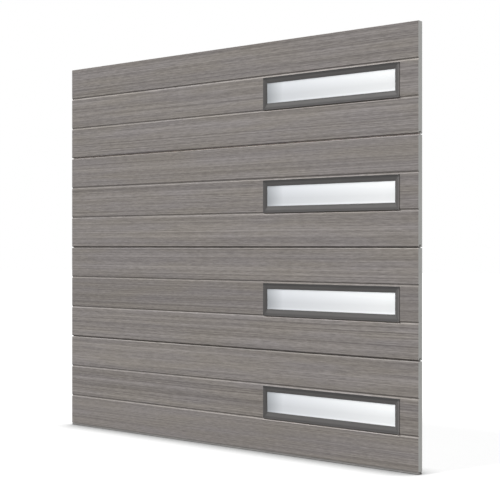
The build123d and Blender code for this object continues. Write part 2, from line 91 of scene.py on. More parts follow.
class Sketch:
    """One material and the shader nodes in it."""

    def __init__(self, name: str) -> None:
        """Start a material with a shader that covers its surface.

        Args:
            name: The material's name.
        """
        self.material = bpy.data.materials.new(name)
        self.material.use_nodes = True
        self.tree = self.material.node_tree
        self.tree.nodes.clear()
        self.surface = self.add("ShaderNodeBsdfPrincipled")
        output = self.add("ShaderNodeOutputMaterial")
        self.link(self.surface.outputs["BSDF"], output.inputs["Surface"])
        self.place = self.add("ShaderNodeTexCoord").outputs["Object"]

    def add(self, kind: str) -> Node:
        """Add a node of a kind."""
        return self.tree.nodes.new(kind)

    def link(self, source: Socket, target: Socket) -> None:
        """Join two sockets."""
        self.tree.links.new(source, target)

    def feed(self, value: Socket | float | Sequence[float], target: Socket) -> None:
        """Link a socket to the target, or set a constant on it."""
        if isinstance(value, bpy.types.NodeSocket):
            self.link(value, target)
        else:
            target.default_value = value

    def set(self, **values: Socket | float | Sequence[float]) -> None:
        """Feed the surface shader's inputs, named with underscores for spaces."""
        for name, value in values.items():
            if isinstance(value, tuple) and len(value) == 3:
                value = (*value, 1.0)
            self.feed(value, self.surface.inputs[name.replace("_", " ")])

    def math(self, operation: str, *values: Socket | float, clamp: bool = False) -> Socket:
        """Result of a math node."""
        node = self.add("ShaderNodeMath")
        node.operation = operation
        node.use_clamp = clamp
        for value, target in zip(values, node.inputs):
            self.feed(value, target)
        return node.outputs[0]

    def sum(self, *terms: tuple[Socket, float], start: float = 0.0) -> Socket:
        """Weighted sum of sockets, each counted from its middle of one half."""
        total: Socket | float = start
        for socket, weight in terms:
            centred = self.math("SUBTRACT", socket, 0.5)
            total = self.math("MULTIPLY_ADD", centred, weight, total)
        return total

    def split(self, vector: Socket | None = None) -> tuple[Socket, Socket, Socket]:
        """The three coordinates of a vector, or of the place in the object's frame."""
        node = self.add("ShaderNodeSeparateXYZ")
        self.link(vector or self.place, node.inputs[0])
        return node.outputs[0], node.outputs[1], node.outputs[2]

    def vector(self, x: Socket | float, y: Socket | float, z: Socket | float) -> Socket:
        """Vector made of three values."""
        node = self.add("ShaderNodeCombineXYZ")
        for value, target in zip((x, y, z), node.inputs):
            self.feed(value, target)
        return node.outputs[0]

    def stretch(self, scale: Sequence[float]) -> Socket:
        """The place in the object's frame, scaled along each axis."""
        node = self.add("ShaderNodeMapping")
        node.inputs["Scale"].default_value = scale
        self.link(self.place, node.inputs["Vector"])
        return node.outputs[0]

    def noise(
        self, vector: Socket, scale: float = 1.0, detail: float = 2.0, roughness: float = 0.5
    ) -> Socket:
        """Value of a soft noise at a vector.

        Args:
            vector: Where to read the noise.
            scale: How often it repeats in one unit.
            detail: How many finer layers it has.
            roughness: How strong the finer layers are.

        Returns:
            The socket of the value, from 0 to 1.
        """
        node = self.add("ShaderNodeTexNoise")
        node.inputs["Scale"].default_value = scale
        node.inputs["Detail"].default_value = detail
        node.inputs["Roughness"].default_value = roughness
        self.link(vector, node.inputs["Vector"])
        return node.outputs[0]

    def cells(self, vector: Socket, scale: float, smooth: bool = False) -> Node:
        """Cell pattern node at a vector."""
        node = self.add("ShaderNodeTexVoronoi")
        node.feature = "SMOOTH_F1" if smooth else "F1"
        node.inputs["Scale"].default_value = scale
        self.link(vector, node.inputs["Vector"])
        return node

    def ramp(self, value: Socket, *stops: tuple[float, Colour]) -> Socket:
        """Colour read from stops along a value."""
        node = self.add("ShaderNodeValToRGB")
        elements = node.color_ramp.elements
        while len(elements) < len(stops):
            elements.new(1.0)
        for element, (position, colour) in zip(elements, stops):
            element.position = position
            element.color = (*colour, 1.0)
        self.link(value, node.inputs[0])
        return node.outputs[0]

    def spread(self, value: Socket, low: float, high: float, first: float, last: float) -> Socket:
        """A value carried from one range to another, held at both ends."""
        node = self.add("ShaderNodeMapRange")
        for target, number in zip(node.inputs[1:5], (low, high, first, last)):
            target.default_value = number
        self.link(value, node.inputs[0])
        return node.outputs[0]

    def blend(
        self,
        factor: Socket | float,
        first: Socket | Colour,
        second: Socket | Colour,
        mode: str = "MIX",
    ) -> Socket:
        """Mix of two colours.

        Args:
            factor: Share of the second colour.
            first: Colour at a factor of 0.
            second: Colour at a factor of 1.
            mode: How the two are combined.

        Returns:
            The mixed colour's socket.
        """
        node = self.add("ShaderNodeMix")
        node.data_type = "RGBA"
        node.blend_type = mode
        self.feed(factor, node.inputs[0])
        for value, target in ((first, node.inputs[6]), (second, node.inputs[7])):
            self.feed((*value, 1.0) if isinstance(value, tuple) else value, target)
        return node.outputs[2]

    def dimmed(self, colour: Socket, factor: Socket) -> Socket:
        """Colour times a factor."""
        return self.blend(1.0, colour, self.vector(factor, factor, factor), "MULTIPLY")

    def toned(self, colour: Socket, share: Socket, stops: Stops) -> Socket:
        """Colour times a factor that is read from stops along a share from 0 to 1."""
        greys = self.ramp(share, *((place, (grey,) * 3) for place, grey in stops))
        return self.blend(1.0, colour, greys, "MULTIPLY")

    def bump(self, height: Socket, depth: float) -> None:
        """Raise the surface by a height of 0 to 1 times a depth in metres."""
        node = self.add("ShaderNodeBump")
        node.inputs["Distance"].default_value = depth
        self.link(height, node.inputs["Height"])
        self.link(node.outputs[0], self.surface.inputs["Normal"])


@dataclass(frozen=True)
class Opening:
    """Place of the windows: one in each section, all at the same place in it."""

    left: float
    width: float
    bottom: float
    height: float

    @classmethod
    def around(cls, node: str) -> "Opening":
        """Opening that a solid of the lowest section fills."""
        low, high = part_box(node)
        return cls(low.x, high.x - low.x, low.z, high.z - low.z)

    def shares(self, sketch: Sketch) -> tuple[Socket, Socket]:
        """Shares of the way from left to right and from bottom to top, from 0 to 1."""
        x, _, z = sketch.split()
        along = sketch.spread(x, self.left, self.left + self.width, 0.0, 1.0)
        turns = sketch.math("FRACT", sketch.math("DIVIDE", z, SECTION_PITCH))
        low = self.bottom / SECTION_PITCH
        high = (self.bottom + self.height) / SECTION_PITCH
        return along, sketch.spread(turns, low, high, 0.0, 1.0)


@dataclass(frozen=True)
class GrainPaint:
    """Matt paint embossed and printed with a long, straight wood grain.

    Broad bands, long streaks, fine streaks, pores and the shade of each plank add up to
    one value, by the weights below.
    """

    opening: Opening
    dark: Colour = tone(103, 98, 95)
    middle: Colour = tone(127, 122, 118)
    light: Colour = tone(150, 145, 141)
    warm: Colour = tone(131, 124, 116)
    cool: Colour = tone(127, 122, 124)
    roughness: float = 0.62
    emboss: float = 0.0005
    plank_step: float = 13.7
    sway: float = 0.012
    plank_weight: float = 0.14
    broad_weight: float = 0.35
    long_weight: float = 1.6
    fine_weight: float = 1.0
    pore_weight: float = -0.22
    tint_share: float = 0.35
    slope_middle: float = 0.977
    slope_reach: float = 0.018
    joint_reach: float = 0.0135
    # Gains of the painted highlight: on every groove's lower slope, more under the windows, and inside the
    # uppermost joint.
    slope_highlight_gain: float = 0.16
    sill_highlight_gain: float = 0.80
    joint_highlight_gain: float = 2.5

    def build(self) -> bpy.types.Material:
        """Material whose grain starts anew on every plank."""
        sketch = Sketch("door_paint")
        x, _, z = sketch.split()
        plank = sketch.math("FLOOR", sketch.math("DIVIDE", z, PLANK_PITCH))
        offset = sketch.math("MULTIPLY", plank, self.plank_step)
        drift = sketch.noise(
            sketch.vector(
                sketch.math("MULTIPLY_ADD", x, 0.9, offset), offset, sketch.math("MULTIPLY", z, 5)
            )
        )
        height = sketch.math("MULTIPLY_ADD", drift, self.sway, z)

        def streaks(along: float, across: float, detail: float, roughness: float) -> Socket:
            """Noise drawn out along the planks, with its scale along and across them."""
            return sketch.noise(
                sketch.vector(
                    sketch.math("MULTIPLY_ADD", x, along, offset),
                    sketch.math("MULTIPLY", offset, 0.31),
                    sketch.math("MULTIPLY", height, across),
                ),
                detail=detail,
                roughness=roughness,
            )

        shade = sketch.add("ShaderNodeTexWhiteNoise")
        shade.noise_dimensions = "1D"
        sketch.link(plank, shade.inputs["W"])
        broad = streaks(0.25, 22, 1, 0.5)
        long = streaks(0.22, 145, 2, 0.9)
        fine = streaks(20, 180, 2, 0.8)
        pores = sketch.spread(streaks(14, 640, 1, 0.5), 0.60, 0.74, 0.0, 1.0)
        value = sketch.sum(
            (shade.outputs[0], self.plank_weight),
            (broad, self.broad_weight),
            (long, self.long_weight),
            (fine, self.fine_weight),
            start=0.5,
        )
        value = sketch.math("MULTIPLY_ADD", pores, self.pore_weight, value, clamp=True)
        colour = sketch.ramp(value, (0.12, self.dark), (0.5, self.middle), (0.9, self.light))
        tint = sketch.ramp(
            sketch.noise(sketch.vector(x, offset, sketch.math("MULTIPLY", z, 9)), scale=1.7),
            (0.35, self.cool),
            (0.65, self.warm),
        )
        tinted = sketch.blend(1.0, colour, tint, "COLOR")
        colour = sketch.blend(self.tint_share, colour, tinted)
        # Painted highlight: the lower groove slopes, more under the windows, and the inside of the uppermost joint
        # are painted lighter.
        colour = sketch.dimmed(colour, self.edge(sketch))
        relief = sketch.math("MULTIPLY_ADD", pores, -0.5, sketch.sum((long, 1.0), (fine, 0.9)))
        sketch.set(
            Base_Color=colour,
            Roughness=sketch.spread(fine, 0.3, 0.7, self.roughness + 0.06, self.roughness - 0.06),
            Specular_IOR_Level=0.3,
        )
        sketch.bump(relief, self.emboss)
        return sketch.material

    def edge(self, sketch: Sketch) -> Socket:
        """Factor that lifts the paint to the brightness that the photograph shows.

        It lifts the lower slope of every groove, more under the windows, and the inside
        of the uppermost joint. It stands for light: a real door's paint is even there.
        """
        along, _ = self.opening.shares(sketch)
        plank = sketch.math("DIVIDE", sketch.split()[2], PLANK_PITCH)
        rise = sketch.math("FRACT", plank)
        slope = sketch.math("COMPARE", rise, self.slope_middle, self.slope_reach)
        turn = sketch.math("FRACT", sketch.math("DIVIDE", plank, PLANKS_PER_SECTION))
        under = sketch.math("LESS_THAN", turn, 1 / PLANKS_PER_SECTION)
        inside = sketch.math("COMPARE", along, 0.5, 0.4999)
        under = sketch.math("MULTIPLY", under, inside)
        gain = sketch.math("MULTIPLY_ADD", under, self.sill_highlight_gain, self.slope_highlight_gain)
        lit = sketch.math("MULTIPLY_ADD", slope, gain, 1.0)
        highest = (SECTIONS - 1) * PLANKS_PER_SECTION
        upper = sketch.math("COMPARE", plank, highest, self.joint_reach)
        return sketch.math("MULTIPLY_ADD", upper, self.joint_highlight_gain, lit)


@dataclass(frozen=True)
class StuccoPaint:
    """Satin off-white paint on sheet that is embossed like fine stucco."""

    light: Colour = tone(216, 217, 213)
    shade: Colour = tone(203, 204, 200)
    roughness: float = 0.48
    emboss: float = 0.0006

    def build(self) -> bpy.types.Material:
        """Material with a pebbled relief and a faint film of dust."""
        sketch = Sketch("back_paint")
        pebbles = sketch.cells(sketch.stretch((1, 1, 1)), 210, smooth=True).outputs["Distance"]
        lumps = sketch.noise(sketch.place, 95, 3, 0.6)
        dust = sketch.noise(sketch.stretch((1.0, 1.0, 2.5)), 2.2, 4, 0.6)
        relief = sketch.sum((lumps, 1.2), (pebbles, -0.7))
        sketch.set(
            Base_Color=sketch.ramp(dust, (0.3, self.shade), (0.7, self.light)),
            Roughness=sketch.spread(dust, 0.3, 0.7, self.roughness + 0.08, self.roughness),
            Specular_IOR_Level=0.4,
        )
        sketch.bump(relief, self.emboss)
        return sketch.material


@dataclass(frozen=True)
class SheetPaint:
    """Smooth coil-coated paint with a faint orange peel."""

    name: str
    light: Colour
    shade: Colour
    roughness: float = 0.45
    peel: float = 0.00008

    def build(self) -> bpy.types.Material:
        """Material with soft tonal drift, darker where dust settles."""
        sketch = Sketch(self.name)
        drift = sketch.noise(sketch.stretch((1, 1, 0.6)), 6, 4, 0.6)
        peel = sketch.noise(sketch.place, 420, 2, 0.5)
        sketch.set(
            Base_Color=sketch.ramp(drift, (0.3, self.shade), (0.7, self.light)),
            Roughness=sketch.spread(drift, 0.3, 0.7, self.roughness + 0.1, self.roughness),
            Specular_IOR_Level=0.4,
        )
        sketch.bump(peel, self.peel)
        return sketch.material


@dataclass(frozen=True)
class MouldedPlastic:
    """Injection-moulded plastic with a fine spark-eroded texture."""

    name: str
    light: Colour
    shade: Colour
    roughness: float = 0.5
    texture: float = 0.00012

    def build(self) -> bpy.types.Material:
        """Material with a fine pitted texture and slight flow marks."""
        sketch = Sketch(self.name)
        flow = sketch.noise(sketch.stretch((0.8, 1, 4)), 9, 3, 0.55)
        pits = sketch.noise(sketch.place, 900, 3, 0.6)
        value = sketch.sum((flow, 0.8), (pits, 0.4), start=0.5)
        colour = sketch.ramp(value, (0.25, self.shade), (0.75, self.light))
        sketch.set(
            # Window frames paint light and shade onto the colour here; plain plastic keeps its own colour.
            Base_Color=self.finished(sketch, colour),
            Roughness=sketch.spread(flow, 0.3, 0.7, self.roughness + 0.07, self.roughness - 0.05),
            Specular_IOR_Level=0.45,
        )
        sketch.bump(pits, self.texture)
        return sketch.material

    def finished(self, sketch: Sketch, colour: Socket) -> Socket:
        """The colour as the plain plastic has it."""
        return colour


@dataclass(frozen=True)
class SatinGlass:
    """Acid-etched glass, milky white, in tones that stand for light in a studio."""

    opening: Opening
    along: tuple[tuple[float, Colour], ...] = (
        (0.02, tone(172, 176, 180)),
        (0.14, tone(225, 228, 232)),
        (0.90, tone(252, 254, 255)),
    )
    upward: Stops = (
        (0.19, 0.93),
        (0.24, 0.84),
        (0.42, 0.84),
        (0.75, 1.0),
        (0.83, 1.0),
        (0.90, 0.80),
    )
    # Strength of the painted glow, which stands for light shining through from behind.
    glow: float = 0.06
    roughness: float = 0.38
    frost: float = 0.00003

    def build(self) -> bpy.types.Material:
        """Material that runs from grey at the lower left to white at the upper right."""
        sketch = Sketch("satin_glass")
        along, up = self.opening.shares(sketch)
        cloud = sketch.noise(sketch.stretch((3, 1, 9)), 1.5, 2, 0.5)
        along = sketch.math("ADD", along, sketch.sum((cloud, 0.02)))
        colour = sketch.toned(sketch.ramp(along, *self.along), up, self.upward)
        sketch.set(
            Base_Color=colour,
            Roughness=self.roughness,
            IOR=1.5,
            Transmission_Weight=0.04,
            # Painted glow: the glass emits its own colour, standing for light from behind the door.
            Emission_Color=colour,
            Emission_Strength=self.glow,
        )
        sketch.bump(sketch.noise(sketch.place, 1500, 2, 0.5), self.frost)
        return sketch.material


@dataclass(frozen=True, kw_only=True)
class FramePlastic(MouldedPlastic):
    """Plastic of the window frames, with tones on its lip that stand for studio light."""

    opening: Opening
    # Painted light and shade up the frame: a painted highlight on the sill's outer lip, painted shade on the head,
    # darkest at its top edge.
    upward: Stops = (
        (0.0, 1.0),
        (0.012, 0.93),
        (0.02, 0.58),
        (0.04, 0.45),
        (0.07, 0.47),
        (0.10, 0.62),
        (0.92, 0.64),
        (0.94, 0.34),
        (0.975, 0.29),
        (0.985, 0.10),
    )
    # Painted light and shade across the frame: painted shade on the left stile, a painted highlight on the right
    # lip.
    along: Stops = (
        (0.0, 0.29),
        (0.03, 0.29),
        (0.035, 0.345),
        (0.985, 0.345),
        (0.990, 0.42),
        (0.9965, 0.6),
        (0.998, 1.0),
    )
    lift: float = 4.4

    def finished(self, sketch: Sketch, colour: Socket) -> Socket:
        """The colour with painted light and shade on the lip, raised by the lift that the tones allow for."""
        along, up = self.opening.shares(sketch)
        colour = sketch.toned(colour, up, self.upward)
        colour = sketch.toned(colour, along, self.along)
        return sketch.blend(1.0, colour, (self.lift,) * 3, "MULTIPLY")


@dataclass(frozen=True)
class Metal:
    """Bare or plated metal, with a spangle of cells or a brushed grain along the leaf."""

    name: str
    light: Colour
    shade: Colour
    spangle: float = 0.0
    roughness: float = 0.4

    def build(self) -> bpy.types.Material:
        """Material with the pattern that the metal's plating or drawing leaves."""
        sketch = Sketch(self.name)
        if self.spangle:
            cells = sketch.cells(sketch.place, self.spangle)
            pattern = sketch.split(cells.outputs["Color"])[0]
        else:
            pattern = sketch.noise(sketch.stretch((6, 900, 900)), 1, 3, 0.6)
        stain = sketch.noise(sketch.place, 28, 4, 0.65)
        value = sketch.sum((pattern, 0.75), (stain, 0.9), start=0.5)
        sketch.set(
            Base_Color=sketch.ramp(value, (0.15, self.shade), (0.85, self.light)),
            Metallic=0.9,
            Roughness=sketch.spread(value, 0.2, 0.8, self.roughness + 0.12, self.roughness - 0.06),
        )
        sketch.bump(sketch.noise(sketch.place, 700, 2, 0.5), 0.00005)
        return sketch.material


@dataclass(frozen=True)
class RigidFoam:
    """Cream insulating foam with fine open cells."""

    light: Colour = tone(232, 220, 188)
    shade: Colour = tone(205, 188, 146)

    def build(self) -> bpy.types.Material:
        """Material with cells in its colour and relief."""
        sketch = Sketch("foam")
        cells = sketch.cells(sketch.place, 900).outputs["Distance"]
        cloud = sketch.noise(sketch.place, 40, 3, 0.6)
        sketch.set(
            Base_Color=sketch.ramp(cloud, (0.3, self.shade), (0.7, self.light)),
            Roughness=0.9,
            Specular_IOR_Level=0.2,
        )
        sketch.bump(cells, 0.0003)
        return sketch.material


@dataclass(frozen=True)
class FlexVinyl:
    """Soft vinyl with drawn lines along its length, darker near the floor."""

    name: str
    light: Colour
    shade: Colour
    foot_tone: Colour = tone(120, 116, 110)
    foot_height: float = 0.004

    def build(self) -> bpy.types.Material:
        """Material with extrusion lines and a darker lowest edge."""
        sketch = Sketch(self.name)
        _, _, z = sketch.split()
        lines = sketch.noise(sketch.stretch((1.5, 700, 700)), 1, 2, 0.5)
        cloud = sketch.noise(sketch.stretch((3, 8, 8)), 4, 4, 0.6)
        colour = sketch.ramp(cloud, (0.3, self.shade), (0.7, self.light))
        # Darker towards the floor: the lowest few millimetres blend, in patches, towards a darker tone.
        foot_share = sketch.spread(z, self.foot_height, 0.0, 0.0, 1.0)
        foot_share = sketch.math("MULTIPLY", foot_share, cloud)
        sketch.set(
            Base_Color=sketch.blend(foot_share, colour, self.foot_tone),
            Roughness=0.55,
            Specular_IOR_Level=0.35,
        )
        sketch.bump(lines, 0.0001)
        return sketch.material


class Finishes:
    """Every finish of the door, by the record's material slot."""

    def __init__(self) -> None:
        """Make the materials, with glass, frame and paint fitted to the window's place."""
        glass = SatinGlass(Opening.around("section_1_window_glass"))
        opening = Opening.around("section_1_window_frame")
        plastic = FramePlastic(
            name="frame_plastic",
            light=tone(82, 80, 79),
            shade=tone(74, 72, 71),
            opening=opening,
        )
        self.by_slot = {
            "door_paint": GrainPaint(opening).build(),
            "foam": RigidFoam().build(),
            "back_paint": StuccoPaint().build(),
            "cap_paint": SheetPaint(
                "cap_paint", tone(160, 160, 157), tone(150, 150, 147)
            ).build(),
            "frame_plastic": plastic.build(),
            "inner_frame_plastic": MouldedPlastic(
                "inner_frame_plastic", tone(221, 222, 218), tone(210, 211, 207), 0.42
            ).build(),
            "satin_glass": glass.build(),
            "spacer_metal": Metal("spacer_metal", tone(205, 206, 208), tone(180, 182, 185)).build(),
            "galvanised": Metal(
                "galvanised", tone(196, 199, 202), tone(150, 153, 157), spangle=130
            ).build(),
            "retainer_metal": Metal(
                "retainer_metal", tone(150, 147, 144), tone(136, 133, 130)
            ).build(),
            "seal_vinyl": FlexVinyl("seal_vinyl", tone(128, 126, 124), tone(116, 114, 112)).build(),
        }
        self.bead = FlexVinyl("bead_vinyl", tone(86, 85, 84), tone(78, 77, 76)).build()
        self.zinc = Metal(
            "screw_zinc", tone(214, 214, 210), tone(176, 175, 170), roughness=0.3
        ).build()

    def dress_solids(self) -> None:
        """Give every solid the finish of its slot."""
        for part in frame["record"]["subparts"]:
            node = frame["nodes"][part["node"]]
            for slot in node.material_slots:
                slot.material = self.by_slot[part["material_slot"]]
            LOG.info("%s is finished in %s", node.name, part["material_slot"])


@dataclass(frozen=True)
class Form:
    """Points of one closed surface and the corner numbers of its four-sided faces."""

    points: Array
    faces: Array

    def repeated(self, places: Array, turn: Array | None = None) -> "Form":
        """The surface set down at many places, each turned by the same matrix.

        Args:
            places: One row (x, y, z) for each copy.
            turn: Matrix that turns the form before it is set down.

        Returns:
            One form with all the copies: point p of copy c lies at places[c] + turn p.
        """
        turned = self.points if turn is None else self.points @ turn.T
        points = places[:, None, :] + turned[None, :, :]
        shift = np.arange(len(places))[:, None, None] * len(self.points)
        faces = self.faces[None, :, :] + shift
        return Form(points.reshape(-1, 3), faces.reshape(-1, 4))


def joined(forms: Iterable[Form]) -> Form:
    """Several forms as one, their points in one list."""
    forms = list(forms)
    starts = np.cumsum([0] + [len(form.points) for form in forms[:-1]])
    points = np.concatenate([form.points for form in forms])
    faces = np.concatenate([form.faces + start for form, start in zip(forms, starts)])
    return Form(points, faces)


def grid_faces(rows: int, columns: int, ring_of_rows: bool = False) -> Array:
    """Faces of a grid whose columns close into a ring.

    Face (r, c) joins the points (r, c), (r, c + 1), (r + 1, c + 1) and (r + 1, c), counted
    round in the columns, and round in the rows too if the rows form a ring.

    Args:
        rows: Number of rows of points.
        columns: Number of points in a row.
        ring_of_rows: Whether the last row joins the first.

    Returns:
        One row of four corner numbers for each face.
    """
    row, column = np.meshgrid(
        np.arange(rows if ring_of_rows else rows - 1), np.arange(columns), indexing="ij"
    )
    next_row = (row + 1) % rows
    next_column = (column + 1) % columns
    corners = [
        row * columns + column,
        row * columns + next_column,
        next_row * columns + next_column,
        next_row * columns + column,
    ]
    return np.stack(corners, axis=-1).reshape(-1, 4)


def turned_form(rings: Sequence[tuple[float, float, Drive]], columns: int) -> Form:
    """Surface turned about the Y axis, from its foot to its crown.

    At the angle t, a round ring of radius a has the radius a, and a ring with n flat sides
    has a / cos((t mod 2 pi / n) - pi / n), so a is the distance from the axis to a flat.

    Args:
        rings: Radius, height along Y and number of sides of each ring.
        columns: Points in each ring.

    Returns:
        The closed form, standing on the origin.
    """
    angle = np.arange(columns) * 2 * np.pi / columns
    rows = []
    for radius, height, drive in rings:
        reach = np.full(columns, float(radius))
        if drive is not Drive.ROUND:
            step = 2 * np.pi / drive.value
            reach = radius / np.cos(np.mod(angle, step) - step / 2)
        rows.append(
            np.stack(
                [reach * np.cos(angle), np.full(columns, float(height)), reach * np.sin(angle)], -1
            )
        )
    return Form(np.concatenate(rows), grid_faces(len(rings), columns))


def mitred_form(
    corners: tuple[float, float, float, float],
    widths: tuple[float, float, float, float],
    profile: Array,
) -> Form:
    """A closed section carried round a rectangle, mitred at its corners.

    The point (inset, depth) of the section passes the corner of a side at x0 and a side at
    z0 at (x0 + sx wx inset, depth, z0 + sz wz inset), wx and wz being the widths of the ring
    along the two sides and sx and sz the directions into the rectangle.

    Args:
        corners: Left, right, bottom and top of the rectangle.
        widths: Widths of the ring at the left, right, bottom and top.
        profile: One row (inset, y) for each point of the section, the inset as a share.

    Returns:
        The ring.
    """
    left, right, bottom, top = (
        edge + sign * width * profile[:, 0]
        for edge, width, sign in zip(corners, widths, (1, -1, 1, -1))
    )
    depth = profile[:, 1:]
    x = np.stack([left, right, right, left], axis=-1)
    z = np.stack([bottom, bottom, top, top], axis=-1)
    points = np.stack([x, np.broadcast_to(depth, x.shape), z], axis=-1).reshape(-1, 3)
    return Form(points, grid_faces(len(profile), 4, ring_of_rows=True))


def pressed_rib(width: float, length: float, height: float, columns: int = 28) -> Form:
    """Rounded rib pressed out of a plate, standing on the origin and drawn out along Z.

    At the rise f from 0 to 90 degrees and the angle t round it, the point is
    (r cos t, height sin f, r sin t + s sign(sin t)), with r = width / 2 cos f and s half the
    straight length.

    Args:
        width: Width of the rib's foot.
        length: Length of the rib's foot.
        height: Height of the crown.
        columns: Points round the rib.

    Returns:
        The closed form.
    """
    angle = (np.arange(columns) + 0.5) * 2 * np.pi / columns
    rise = np.linspace(0, np.pi / 2, 6)[:, None]
    radius = np.concatenate([[[0.0]], width / 2 * np.cos(rise)])
    level = np.concatenate([[[0.0]], height * np.sin(rise)])
    straight = (length - width) / 2 * np.sign(np.sin(angle))
    x = radius * np.cos(angle)
    z = radius * np.sin(angle) + straight
    points = np.stack([x, np.broadcast_to(level, x.shape), z], axis=-1).reshape(-1, 3)
    return Form(points, grid_faces(len(radius), columns))


@dataclass(frozen=True)
class Piece:
    """A new piece: its form, the body that carries it and its finish."""

    name: str
    form: Form
    body: str
    slot: str
    material: bpy.types.Material

    def make(self) -> None:
        """Put the piece into the scene, its surface closed, facing out and smooth."""
        mesh = bpy.data.meshes.new(self.name)
        corners = self.form.faces.size
        mesh.vertices.add(len(self.form.points))
        mesh.vertices.foreach_set("co", self.form.points.astype(np.float32).ravel())
        mesh.loops.add(corners)
        mesh.loops.foreach_set("vertex_index", self.form.faces.astype(np.int32).ravel())
        mesh.polygons.add(len(self.form.faces))
        mesh.polygons.foreach_set("loop_start", np.arange(0, corners, 4, dtype=np.int32))
        mesh.update(calc_edges=True)
        solid = bmesh.new()
        solid.from_mesh(mesh)
        bmesh.ops.remove_doubles(solid, verts=solid.verts, dist=WELD_DISTANCE)
        bmesh.ops.recalc_face_normals(solid, faces=solid.faces)
        solid.to_mesh(mesh)
        solid.free()
        mesh.shade_smooth()
        mesh.set_sharp_from_angle(angle=SHARP_ANGLE)
        mesh.materials.append(self.material)
        made = bpy.data.objects.new(self.name, mesh)
        bpy.context.scene.collection.objects.link(made)
        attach(made, self.body)
        LOG.info("%s: %d faces on %s", self.name, len(mesh.polygons), self.body)


@dataclass(frozen=True)
class Fixings:
    """Screws and rivets, as forms that stand on a surface and point along Y."""

    washer_radius: float = 0.0058
    washer: float = 0.0010
    hex_reach: float = 0.00395
    head: float = 0.0052
    pan_radius: float = 0.0040
    pan_head: float = 0.0022
    socket_reach: float = 0.0012
    rivet_radius: float = 0.0046
    rivet_head: float = 0.0014
    crown_depth: float = 0.0006

    def hex_screw(self) -> Form:
        """Self-drilling screw head: a washer and a hexagon with a turned crown."""
        crown = self.head - self.crown_depth
        rings = [
            (0.0, 0.0, Drive.ROUND),
            (self.washer_radius, 0.0, Drive.ROUND),
            (self.washer_radius, self.washer * 0.6, Drive.ROUND),
            (self.washer_radius * 0.94, self.washer, Drive.ROUND),
            (self.hex_reach * 1.2, self.washer * 1.25, Drive.ROUND),
            (self.hex_reach, self.washer * 1.5, Drive.HEX),
            (self.hex_reach, crown, Drive.HEX),
            (self.hex_reach * 0.98, self.head, Drive.ROUND),
            (self.hex_reach * 0.55, self.head, Drive.ROUND),
            (self.hex_reach * 0.45, crown, Drive.ROUND),
            (0.0, crown, Drive.ROUND),
        ]
        return turned_form(rings, 24)

    def pan_screw(self) -> Form:
        """Low domed screw head with a square socket."""
        rings = [
            (0.0, 0.0, Drive.ROUND),
            (self.pan_radius, 0.0, Drive.ROUND),
            (self.pan_radius * 0.97, self.pan_head * 0.45, Drive.ROUND),
            (self.pan_radius * 0.80, self.pan_head * 0.85, Drive.ROUND),
            (self.pan_radius * 0.50, self.pan_head, Drive.ROUND),
            (self.socket_reach, self.pan_head, Drive.SQUARE),
            (self.socket_reach * 0.85, self.pan_head * 0.4, Drive.SQUARE),
            (0.0, self.pan_head * 0.4, Drive.ROUND),
        ]
        return turned_form(rings, 16)

    def rivet(self) -> Form:
        """Blind rivet head: a low dome with the broken stem in its middle."""
        rings = [
            (0.0, 0.0, Drive.ROUND),
            (self.rivet_radius, 0.0, Drive.ROUND),
            (self.rivet_radius * 0.96, self.rivet_head * 0.4, Drive.ROUND),
            (self.rivet_radius * 0.75, self.rivet_head * 0.85, Drive.ROUND),
            (self.rivet_radius * 0.38, self.rivet_head, Drive.ROUND),
            (self.rivet_radius * 0.34, self.rivet_head * 0.6, Drive.ROUND),
            (0.0, self.rivet_head * 0.75, Drive.ROUND),
        ]
        return turned_form(rings, 16)


@dataclass
class WindowTrim:
    """What the solids leave out at one window: the glazing bead and the screws at the back."""

    section: str
    frame_side: float = 0.027
    frame_rail: float = 0.033
    bead_widths: tuple[float, float, float, float] = (0.0004, 0.0032, 0.0066, 0.0010)
    bead_lift: float = 0.0001
    bead_rise: float = 0.0012
    screw_inset: float = 0.008
    screws_along: int = 8

    def build(self, finishes: Finishes, fixings: Fixings) -> list[Piece]:
        """The trim's pieces."""
        return [self.bead(finishes), self.screws(finishes, fixings)]

    def bead(self, finishes: Finishes) -> Piece:
        """Quarter-round bead between the moulded frame and the front pane.

        The section is a quarter of an ellipse: inset = sin f and rise = height cos f for f
        from 0 to 90 degrees, closed along the frame and the glass. It is widest at the sill.
        """
        low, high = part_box(f"{self.section}_window_frame")
        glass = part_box(f"{self.section}_window_glass")[0].y - self.bead_lift
        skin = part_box(f"{self.section}_front_skin")[0].y
        toe = skin + self.bead_rise
        turn = np.linspace(0, np.pi / 2, 7)
        curve = np.stack([np.sin(turn), glass - (glass - toe) * np.cos(turn)], -1)
        profile = np.concatenate([curve, [[0.0, glass]]])
        corners = (
            low.x + self.frame_side,
            high.x - self.frame_side,
            low.z + self.frame_rail,
            high.z - self.frame_rail,
        )
        form = mitred_form(corners, self.bead_widths, profile)
        name = f"{self.section}_glazing_bead"
        return Piece(name, form, self.section, "frame_plastic", finishes.bead)

    def screws(self, finishes: Finishes, fixings: Fixings) -> Piece:
        """Pan-head screws round the moulded frame at the back."""
        low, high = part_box(f"{self.section}_window_inner_frame")
        left, right = low.x + self.screw_inset, high.x - self.screw_inset
        bottom, top = low.z + self.screw_inset, high.z - self.screw_inset
        along = np.linspace(left, right, self.screws_along)
        rows = [(x, high.y, z) for x in along for z in (bottom, top)]
        rows += [(x, high.y, (bottom + top) / 2) for x in (left, right)]
        form = fixings.pan_screw().repeated(np.array(rows))
        name = f"{self.section}_frame_screws"
        return Piece(name, form, self.section, "spacer_metal", finishes.zinc)


